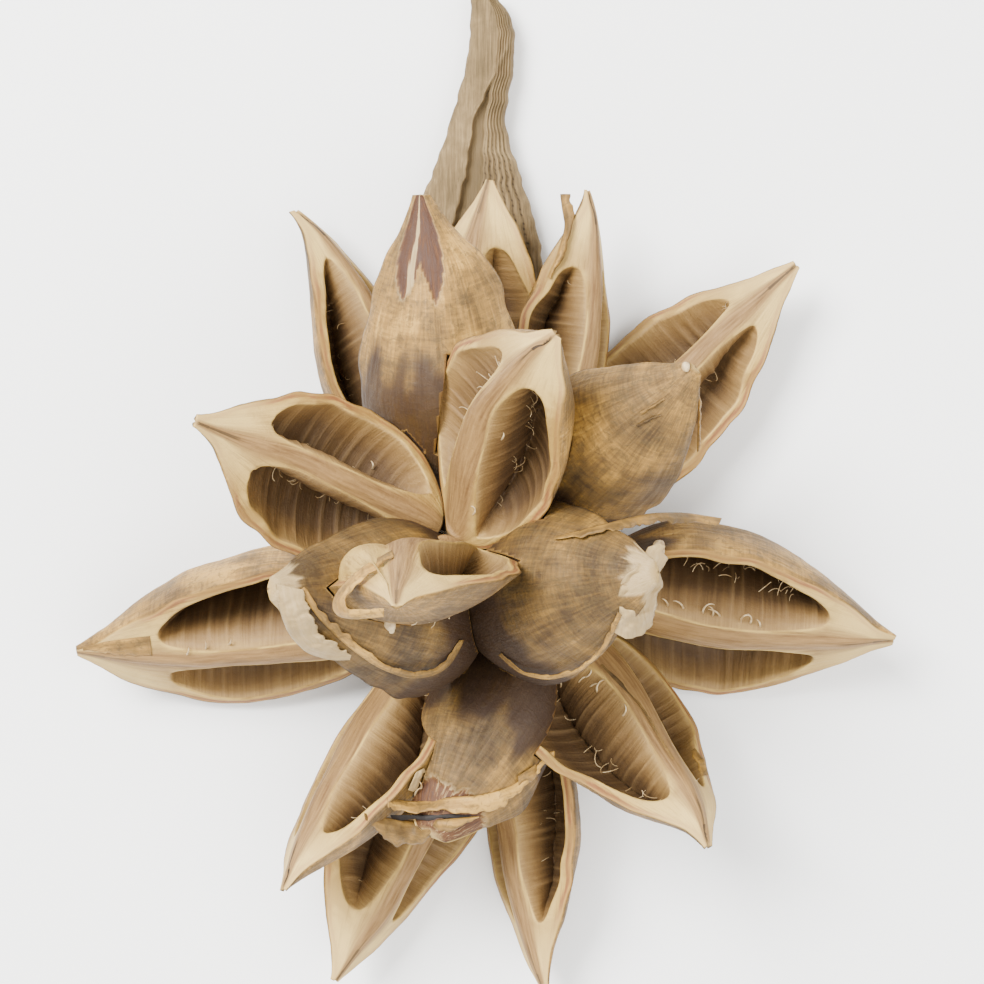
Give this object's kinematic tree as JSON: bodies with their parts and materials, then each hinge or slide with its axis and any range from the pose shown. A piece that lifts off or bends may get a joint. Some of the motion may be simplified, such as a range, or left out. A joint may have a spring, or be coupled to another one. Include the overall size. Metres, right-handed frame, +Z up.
{
  "type": "star pod",
  "caption": "Dried seed head lying on its back: woody capsules split into boat-shaped valves whose pointed tips spread like a star, with a strap-like stem.",
  "frame": {"origin": "On the surface the head rests on, under the middle of its box", "axes": "+Y along the stem to its cut end, +Z up from the surface, +X to the right as seen from above"},
  "size_m": [0.2085, 0.2561, 0.1357],
  "materials": {
    "open_valve": "dry, matt, fibrous",
    "valve_back": "dry, matt, finely grained",
    "stem": "dry, matt, ribbed"
  },
  "bodies": {
    "root": {"front_right": "open_valve", "front_left": "open_valve", "front_lower": "open_valve", "right_front": "valve_back", "left_front": "valve_back", "upper_left_front": "valve_back", "upper_right_front": "valve_back", "lower_front": "valve_back", "left_lower": "open_valve", "right_lower": "open_valve", "upper_right_inner": "open_valve", "upper_left_outer": "open_valve", "upper_right_outer": "open_valve", "left_outer": "open_valve", "right_outer": "open_valve", "lower_outer": "open_valve", "lower_inner": "open_valve", "upper_left_inner": "open_valve", "stem": "stem"}
  },
  "joints": []
}
